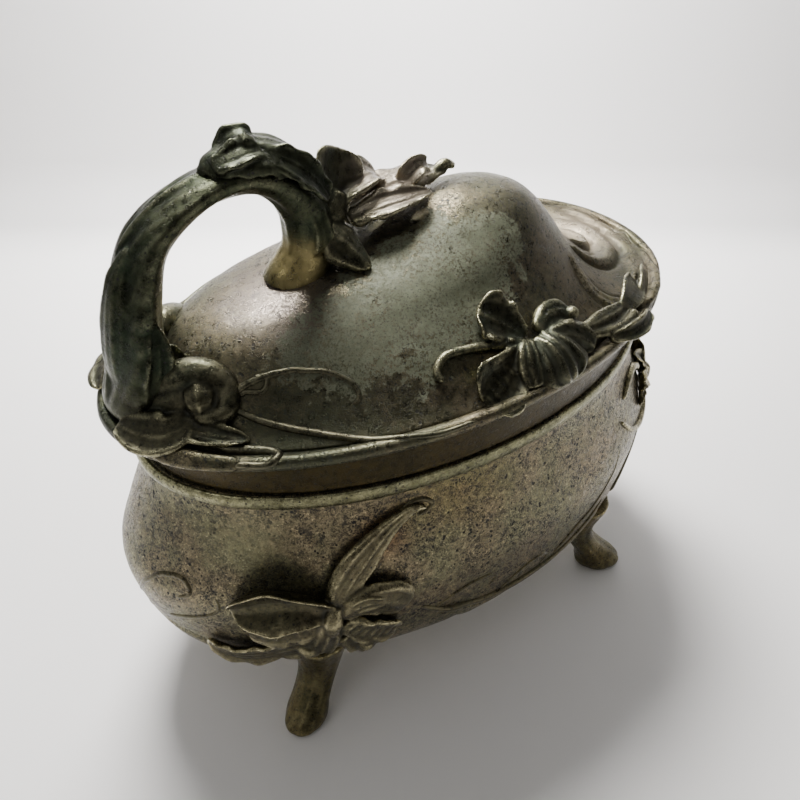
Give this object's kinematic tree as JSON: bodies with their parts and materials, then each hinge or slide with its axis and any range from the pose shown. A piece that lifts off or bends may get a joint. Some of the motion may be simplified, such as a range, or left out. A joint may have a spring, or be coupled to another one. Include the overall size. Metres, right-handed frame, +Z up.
{
  "type": "vanity trinket box",
  "caption": "Oval footed jewel casket in cast metal with a hinged domed lid, a loop handle and iris ornament, padded inside to hold rings and trinkets.",
  "frame": {"origin": "middle of the footprint, on the plane the four feet stand on", "axes": "+X along the box towards the right end, away from the handle's root; +Y from the front to the hinge at the back; +Z up"},
  "size_m": [0.16, 0.0944, 0.1474],
  "materials": {
    "cast_body": "old cast plating, worn and pitted, grey-brown with warm gold near the rim",
    "cast_lid": "dark olive patina over worn plating with a bare grey-green patch",
    "cast_ornament": "cast relief, rubbed pale brass on the high edges and black in the hollows",
    "rim_metal": "golden-brown satin plating, rubbed bright on the bead",
    "hinge_metal": "drawn brass, dulled",
    "silk": "faded old-rose silk over wadding",
    "braid": "twisted gold-thread cord"
  },
  "bodies": {
    "box": {"body_shell": "cast_body", "rim_bead": "rim_metal", "foot_front_left": "cast_body", "foot_front_right": "cast_body", "foot_back_left": "cast_body", "foot_back_right": "cast_body", "iris_front_left": "cast_ornament", "iris_back_right": "cast_ornament", "bloom_right": "cast_ornament", "hinge_leaf_body": "hinge_metal", "hinge_pin": "hinge_metal", "body_rivets": "hinge_metal", "floor_pad": "silk", "wall_lining": "silk", "mouth_braid": "braid"},
    "lid": {"lid_shell": "cast_lid", "lid_collar": "rim_metal", "handle": "cast_lid", "handle_leaves": "cast_ornament", "dome_iris": "cast_ornament", "lid_iris": "cast_ornament", "lid_bud": "cast_ornament", "handle_volute": "cast_ornament", "hinge_leaf_lid": "hinge_metal", "lid_rivets": "hinge_metal", "lid_lining": "silk", "lid_braid": "braid"}
  },
  "joints": [
    {"name": "lid_hinge", "type": "hinge", "parent": "box", "child": "lid", "pos_m": [0, 0.0431, 0.0807], "axis": [-1, 0, 0], "range_deg": [0, 100]}
  ]
}
